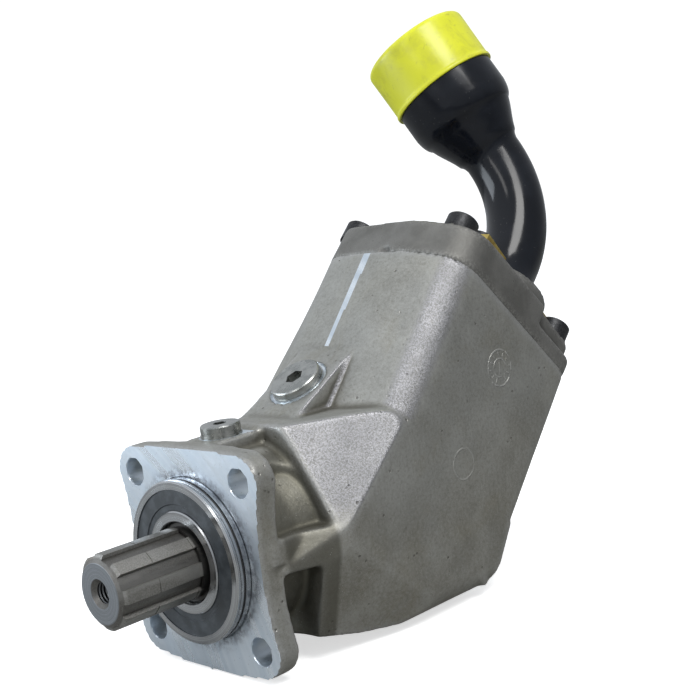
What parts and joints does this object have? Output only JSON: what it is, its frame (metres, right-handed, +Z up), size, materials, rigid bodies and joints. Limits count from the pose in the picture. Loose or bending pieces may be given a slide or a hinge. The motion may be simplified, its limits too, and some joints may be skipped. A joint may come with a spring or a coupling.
{
  "type": "axial piston pump",
  "caption": "Bent-axis axial piston pump with square mounting flange, splined shaft, cast housing, iron end cap and a bent suction fitting under a plastic cover.",
  "frame": {"origin": "centre of the mounting flange's face, on the shaft axis", "axes": "-Y out of the flange along the shaft's nose, +Y into the body, +Z up, +X right"},
  "size_m": [0.123, 0.3308, 0.3173],
  "materials": {
    "cast_aluminium": "as-cast, light stains, machined faces",
    "cast_iron_cap": "as-cast, blasted",
    "black_screws": "black oxide",
    "ground_steel": "ground",
    "rubber_seals": "matt",
    "bearing_seal_rubber": "satin",
    "plain_steel": "machined",
    "bronze": "machined",
    "shaft_steel": "phosphated, end face machined",
    "hardened_steel": "hardened and ground",
    "zinc_plated_plugs": "zinc plated",
    "yellow_zinc_clamps": "yellow passivated zinc",
    "black_gloss_paint": "gloss black paint",
    "yellow_plastic": "thin translucent yellow polyethylene"
  },
  "bodies": {
    "casing": {"pump_housing": "cast_aluminium", "end_cap": "cast_iron_cap", "end_cap_o_ring": "rubber_seals", "end_cap_screws": "black_screws", "housing_dowels": "plain_steel", "valve_plate": "bronze", "valve_plate_dowel": "plain_steel", "barrel_support_pin": "plain_steel", "front_bearing_outer_ring": "ground_steel", "spigot_o_ring": "rubber_seals", "front_bearing_seal": "bearing_seal_rubber", "rear_bearing_outer_ring": "ground_steel", "carrier_circlip": "plain_steel", "seal_carrier": "plain_steel", "seal_carrier_o_ring": "rubber_seals", "shaft_seals": "rubber_seals", "drain_plug": "zinc_plated_plugs", "drain_plug_washer": "zinc_plated_plugs", "vent_plug": "zinc_plated_plugs", "vent_plug_washer": "zinc_plated_plugs", "suction_clamps": "yellow_zinc_clamps", "clamp_screws": "black_screws"},
    "suction_fitting": {"suction_fitting": "black_gloss_paint", "suction_o_ring": "rubber_seals"},
    "protective_cap": {"protective_cap": "yellow_plastic"},
    "shaft": {"input_shaft": "shaft_steel", "front_bearing_inner_ring": "ground_steel", "rear_bearing_inner_ring": "ground_steel", "shaft_timing_gear": "hardened_steel"},
    "front_cage": {"front_bearing_balls": "ground_steel", "front_bearing_cage": "plain_steel"},
    "rear_cage": {"rear_bearing_rollers": "ground_steel", "rear_bearing_cage": "plain_steel"},
    "barrel": {"cylinder_barrel": "hardened_steel", "barrel_timing_gear": "hardened_steel", "barrel_bushing": "bronze", "barrel_springs": "plain_steel"},
    "retaining_ring_1": {"piston_retaining_ring_1": "hardened_steel"},
    "piston_1": {"piston_1": "hardened_steel", "piston_ring_1": "hardened_steel"},
    "retaining_ring_2": {"piston_retaining_ring_2": "hardened_steel"},
    "piston_2": {"piston_2": "hardened_steel", "piston_ring_2": "hardened_steel"},
    "retaining_ring_3": {"piston_retaining_ring_3": "hardened_steel"},
    "piston_3": {"piston_3": "hardened_steel", "piston_ring_3": "hardened_steel"},
    "retaining_ring_4": {"piston_retaining_ring_4": "hardened_steel"},
    "piston_4": {"piston_4": "hardened_steel", "piston_ring_4": "hardened_steel"},
    "retaining_ring_5": {"piston_retaining_ring_5": "hardened_steel"},
    "piston_5": {"piston_5": "hardened_steel", "piston_ring_5": "hardened_steel"},
    "retaining_ring_6": {"piston_retaining_ring_6": "hardened_steel"},
    "piston_6": {"piston_6": "hardened_steel", "piston_ring_6": "hardened_steel"},
    "retaining_ring_7": {"piston_retaining_ring_7": "hardened_steel"},
    "piston_7": {"piston_7": "hardened_steel", "piston_ring_7": "hardened_steel"}
  },
  "joints": [
    {"name": "shaft_rotation", "type": "hinge", "parent": "casing", "child": "shaft", "pos_m": [0, 0, 0], "axis": [0, 1, 0], "continuous": true},
    {"name": "barrel_rotation", "type": "hinge", "parent": "casing", "child": "barrel", "pos_m": [0, 0.1, 0], "axis": [0, 0.7071, 0.7071], "continuous": true},
    {"name": "front_cage_rotation", "type": "hinge", "parent": "casing", "child": "front_cage", "pos_m": [0, 0, 0], "axis": [0, 1, 0], "continuous": true},
    {"name": "rear_cage_rotation", "type": "hinge", "parent": "casing", "child": "rear_cage", "pos_m": [0, 0.06, 0], "axis": [0, 1, 0], "continuous": true},
    {"name": "suction_fitting_swivel", "type": "hinge", "parent": "casing", "child": "suction_fitting", "pos_m": [0.028, 0.21688, 0.09808], "axis": [0, 0.7071, 0.7071], "continuous": true},
    {"name": "protective_cap_pull", "type": "slide", "parent": "suction_fitting", "child": "protective_cap", "axis": [-0.4742, -0.1771, 0.8624], "range_m": [0, 0.045]},
    {"name": "retaining_ring_1_turn", "type": "hinge", "parent": "shaft", "child": "retaining_ring_1", "pos_m": [0, 0.1, 0.031], "axis": [0, 1, 0], "continuous": true},
    {"name": "piston_1_turn", "type": "hinge", "parent": "retaining_ring_1", "child": "piston_1", "pos_m": [0, 0.1, 0.031], "axis": [0, 0.7071, 0.7071], "continuous": true},
    {"name": "retaining_ring_2_turn", "type": "hinge", "parent": "shaft", "child": "retaining_ring_2", "pos_m": [0.02424, 0.1, 0.01933], "axis": [0, 1, 0], "continuous": true},
    {"name": "piston_2_turn", "type": "hinge", "parent": "retaining_ring_2", "child": "piston_2", "pos_m": [0.02424, 0.1, 0.01933], "axis": [0, 0.7071, 0.7071], "continuous": true},
    {"name": "retaining_ring_3_turn", "type": "hinge", "parent": "shaft", "child": "retaining_ring_3", "pos_m": [0.03022, 0.1, -0.0069], "axis": [0, 1, 0], "continuous": true},
    {"name": "piston_3_turn", "type": "hinge", "parent": "retaining_ring_3", "child": "piston_3", "pos_m": [0.03022, 0.1, -0.0069], "axis": [0, 0.7071, 0.7071], "continuous": true},
    {"name": "retaining_ring_4_turn", "type": "hinge", "parent": "shaft", "child": "retaining_ring_4", "pos_m": [0.01345, 0.1, -0.02793], "axis": [0, 1, 0], "continuous": true},
    {"name": "piston_4_turn", "type": "hinge", "parent": "retaining_ring_4", "child": "piston_4", "pos_m": [0.01345, 0.1, -0.02793], "axis": [0, 0.7071, 0.7071], "continuous": true},
    {"name": "retaining_ring_5_turn", "type": "hinge", "parent": "shaft", "child": "retaining_ring_5", "pos_m": [-0.01345, 0.1, -0.02793], "axis": [0, 1, 0], "continuous": true},
    {"name": "piston_5_turn", "type": "hinge", "parent": "retaining_ring_5", "child": "piston_5", "pos_m": [-0.01345, 0.1, -0.02793], "axis": [0, 0.7071, 0.7071], "continuous": true},
    {"name": "retaining_ring_6_turn", "type": "hinge", "parent": "shaft", "child": "retaining_ring_6", "pos_m": [-0.03022, 0.1, -0.0069], "axis": [0, 1, 0], "continuous": true},
    {"name": "piston_6_turn", "type": "hinge", "parent": "retaining_ring_6", "child": "piston_6", "pos_m": [-0.03022, 0.1, -0.0069], "axis": [0, 0.7071, 0.7071], "continuous": true},
    {"name": "retaining_ring_7_turn", "type": "hinge", "parent": "shaft", "child": "retaining_ring_7", "pos_m": [-0.02424, 0.1, 0.01933], "axis": [0, 1, 0], "continuous": true},
    {"name": "piston_7_turn", "type": "hinge", "parent": "retaining_ring_7", "child": "piston_7", "pos_m": [-0.02424, 0.1, 0.01933], "axis": [0, 0.7071, 0.7071], "continuous": true}
  ],
  "couplings": [
    {"joint": "barrel_rotation", "follows": "shaft_rotation", "ratio": 1},
    {"joint": "front_cage_rotation", "follows": "shaft_rotation", "ratio": 0.394},
    {"joint": "rear_cage_rotation", "follows": "shaft_rotation", "ratio": 0.437},
    {"joint": "retaining_ring_1_turn", "follows": "shaft_rotation", "ratio": -1},
    {"joint": "piston_1_turn", "follows": "shaft_rotation", "ratio": -1},
    {"joint": "retaining_ring_2_turn", "follows": "shaft_rotation", "ratio": -1},
    {"joint": "piston_2_turn", "follows": "shaft_rotation", "ratio": -1},
    {"joint": "retaining_ring_3_turn", "follows": "shaft_rotation", "ratio": -1},
    {"joint": "piston_3_turn", "follows": "shaft_rotation", "ratio": -1},
    {"joint": "retaining_ring_4_turn", "follows": "shaft_rotation", "ratio": -1},
    {"joint": "piston_4_turn", "follows": "shaft_rotation", "ratio": -1},
    {"joint": "retaining_ring_5_turn", "follows": "shaft_rotation", "ratio": -1},
    {"joint": "piston_5_turn", "follows": "shaft_rotation", "ratio": -1},
    {"joint": "retaining_ring_6_turn", "follows": "shaft_rotation", "ratio": -1},
    {"joint": "piston_6_turn", "follows": "shaft_rotation", "ratio": -1},
    {"joint": "retaining_ring_7_turn", "follows": "shaft_rotation", "ratio": -1},
    {"joint": "piston_7_turn", "follows": "shaft_rotation", "ratio": -1}
  ]
}
